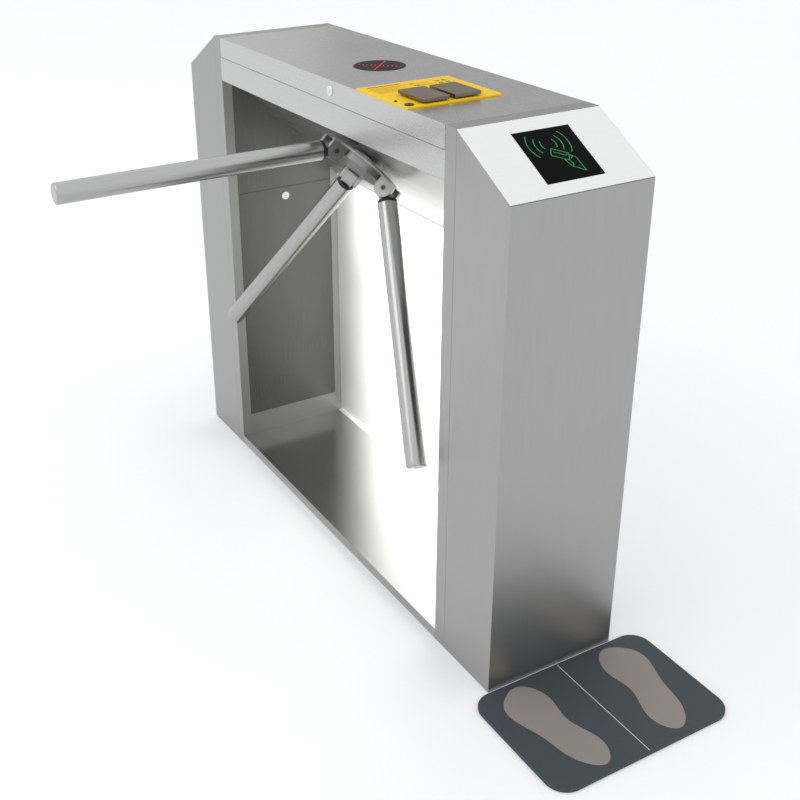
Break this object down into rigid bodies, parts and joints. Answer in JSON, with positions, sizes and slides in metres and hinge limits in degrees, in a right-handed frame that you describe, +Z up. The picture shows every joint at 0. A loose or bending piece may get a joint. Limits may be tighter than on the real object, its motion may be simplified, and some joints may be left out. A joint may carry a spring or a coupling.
{
  "type": "visitor counter turnstile",
  "caption": "Bridge tripod turnstile in brushed sheet steel with two pedestals, three drop arms, sloped reader windows, a touch tester on its lid and a foot mat beside it.",
  "frame": {"origin": "on the floor, midway between the two pedestals and between the front and rear faces", "axes": "+X along the cabinet towards the pedestal with the tester and the mat beside it, -Y the way the level arm points, +Z up"},
  "size_m": [1.456, 0.8334, 0.992],
  "materials": {
    "satin_steel": "brushed stainless sheet",
    "window_black": "polished",
    "reader_plastic": "moulded",
    "lock_chrome": "polished",
    "lock_cam_steel": "zinc plated",
    "hinge_steel": "satin",
    "status_black": "polished",
    "circuit_green": "solder mask",
    "tester_yellow": "enamelled",
    "tester_black": "moulded",
    "jack_black": "moulded",
    "pad_steel": "brushed",
    "hub_casting": "cast and satin plated",
    "pin_chrome": "polished",
    "arm_steel": "polished tube",
    "tongue_casting": "cast and satin plated",
    "shaft_steel": "ground",
    "plated_steel": "zinc plated",
    "housing_aluminium": "cast",
    "spring_steel": "drawn wire",
    "counter_plastic": "moulded",
    "solenoid_steel": "painted",
    "supply_aluminium": "folded sheet",
    "mat_rubber": "moulded, fine grained",
    "sole_rubber": "moulded, fine grained"
  },
  "bodies": {
    "cabinet": {"right_edge_frame": "satin_steel", "left_edge_frame": "satin_steel", "right_upper_panel": "satin_steel", "left_upper_panel": "satin_steel", "right_cover": "satin_steel", "left_cover": "satin_steel", "right_slope_panel": "satin_steel", "left_slope_panel": "satin_steel", "right_window": "window_black", "left_window": "window_black", "readers": "reader_plastic", "floor_channel": "satin_steel", "rear_panel": "satin_steel", "beam_trough": "satin_steel", "hinge_fixed_leaves": "hinge_steel", "hinge_pins": "hinge_steel", "mechanism_plate": "plated_steel", "bearing_housing": "housing_aluminium", "bearings": "shaft_steel", "housing_screws": "shaft_steel", "counter_sensor": "counter_plastic", "index_spring": "spring_steel", "solenoids": "solenoid_steel", "control_board": "circuit_green", "power_supply": "supply_aluminium", "mat_base": "mat_rubber", "mat_left_foot": "sole_rubber", "mat_right_foot": "sole_rubber"},
    "lid": {"lid": "satin_steel", "hinge_lid_leaves": "hinge_steel", "lid_lock_barrel": "lock_chrome", "status_lens": "status_black", "status_board": "circuit_green", "tester_plate": "tester_yellow", "tester_box": "tester_black", "tester_jack": "jack_black"},
    "lid_cam": {"lid_lock_cam": "lock_cam_steel"},
    "right_door": {"right_door": "satin_steel", "right_door_lock_barrel": "lock_chrome"},
    "left_door": {"left_door": "satin_steel", "left_door_lock_barrel": "lock_chrome"},
    "right_door_cam": {"right_door_lock_cam": "lock_cam_steel"},
    "left_door_cam": {"left_door_lock_cam": "lock_cam_steel"},
    "pad_front": {"tester_pad_front": "pad_steel"},
    "pad_rear": {"tester_pad_rear": "pad_steel"},
    "rotor": {"rotor_hub": "hub_casting", "clevis_pins": "pin_chrome", "rotor_shaft": "shaft_steel", "index_wheel": "plated_steel", "counter_disc": "counter_plastic"},
    "arm_1": {"arm_1_tube": "arm_steel", "arm_1_tongue": "tongue_casting"},
    "arm_2": {"arm_2_tube": "arm_steel", "arm_2_tongue": "tongue_casting"},
    "arm_3": {"arm_3_tube": "arm_steel", "arm_3_tongue": "tongue_casting"},
    "index_lever": {"index_lever": "plated_steel"},
    "index_roller": {"index_roller": "plated_steel"},
    "lock_pawl_entry": {"lock_pawl_entry": "plated_steel"},
    "lock_pawl_exit": {"lock_pawl_exit": "plated_steel"}
  },
  "joints": [
    {"name": "rotor_spin", "type": "hinge", "parent": "cabinet", "child": "rotor", "pos_m": [0, -0.028, 0.8085], "axis": [0, -0.7071, -0.7071], "continuous": true},
    {"name": "arm_1_drop", "type": "hinge", "parent": "rotor", "child": "arm_1", "pos_m": [0, -0.10536, 0.83777], "axis": [1, 0, 0], "range_deg": [0, 90]},
    {"name": "arm_2_drop", "type": "hinge", "parent": "rotor", "child": "arm_2", "pos_m": [-0.0653, -0.02538, 0.7578], "axis": [0.5, 0.6124, -0.6124], "range_deg": [-90, 0]},
    {"name": "arm_3_drop", "type": "hinge", "parent": "rotor", "child": "arm_3", "pos_m": [0.0653, -0.02538, 0.7578], "axis": [-0.5, 0.6124, -0.6124], "range_deg": [0, 45]},
    {"name": "lid_open", "type": "hinge", "parent": "cabinet", "child": "lid", "pos_m": [0, 0.14085, 0.94], "axis": [-1, 0, 0], "range_deg": [0, 85]},
    {"name": "lid_lock_turn", "type": "hinge", "parent": "lid", "child": "lid_cam", "pos_m": [0.059, -0.1375, 0.961], "axis": [0, 1, 0], "range_deg": [-90, 0]},
    {"name": "right_door_tilt", "type": "hinge", "parent": "cabinet", "child": "right_door", "pos_m": [0.428, 0, 0.075], "axis": [0, -1, 0], "range_deg": [0, 12]},
    {"name": "left_door_tilt", "type": "hinge", "parent": "cabinet", "child": "left_door", "pos_m": [-0.428, 0, 0.075], "axis": [0, 1, 0], "range_deg": [0, 12]},
    {"name": "right_door_lock_turn", "type": "hinge", "parent": "right_door", "child": "right_door_cam", "pos_m": [0.428, 0.0015, 0.612], "axis": [-1, 0, 0], "range_deg": [-90, 0]},
    {"name": "left_door_lock_turn", "type": "hinge", "parent": "left_door", "child": "left_door_cam", "pos_m": [-0.428, 0.0015, 0.612], "axis": [-1, 0, 0], "range_deg": [-90, 0]},
    {"name": "tester_pad_front_press", "type": "slide", "parent": "lid", "child": "pad_front", "axis": [0, 0, -1], "range_m": [0, 0.002], "stiffness_N_per_m": 3000, "springref_m": -0.002},
    {"name": "tester_pad_rear_press", "type": "slide", "parent": "lid", "child": "pad_rear", "axis": [0, 0, -1], "range_m": [0, 0.002], "stiffness_N_per_m": 3000, "springref_m": -0.002},
    {"name": "index_lever_swing", "type": "hinge", "parent": "cabinet", "child": "index_lever", "pos_m": [-0.078, 0.02291, 0.75759], "axis": [0, -0.7071, -0.7071], "range_deg": [0, 8], "stiffness_Nm_per_rad": 2, "springref_deg": -17.19, "deforming": ["index_spring"]},
    {"name": "index_roller_spin", "type": "hinge", "parent": "index_lever", "child": "index_roller", "pos_m": [-0.0615, -0.028, 0.8085], "axis": [0, -0.7071, -0.7071], "continuous": true},
    {"name": "lock_pawl_entry_swing", "type": "hinge", "parent": "cabinet", "child": "lock_pawl_entry", "pos_m": [0.08163, -0.0502, 0.8307], "axis": [0, -0.7071, -0.7071], "range_deg": [0, 12], "stiffness_Nm_per_rad": 0.8, "springref_deg": -11.46},
    {"name": "lock_pawl_exit_swing", "type": "hinge", "parent": "cabinet", "child": "lock_pawl_exit", "pos_m": [0.08163, -0.0058, 0.7863], "axis": [0, 0.7071, 0.7071], "range_deg": [0, 12], "stiffness_Nm_per_rad": 0.8, "springref_deg": -11.46}
  ]
}
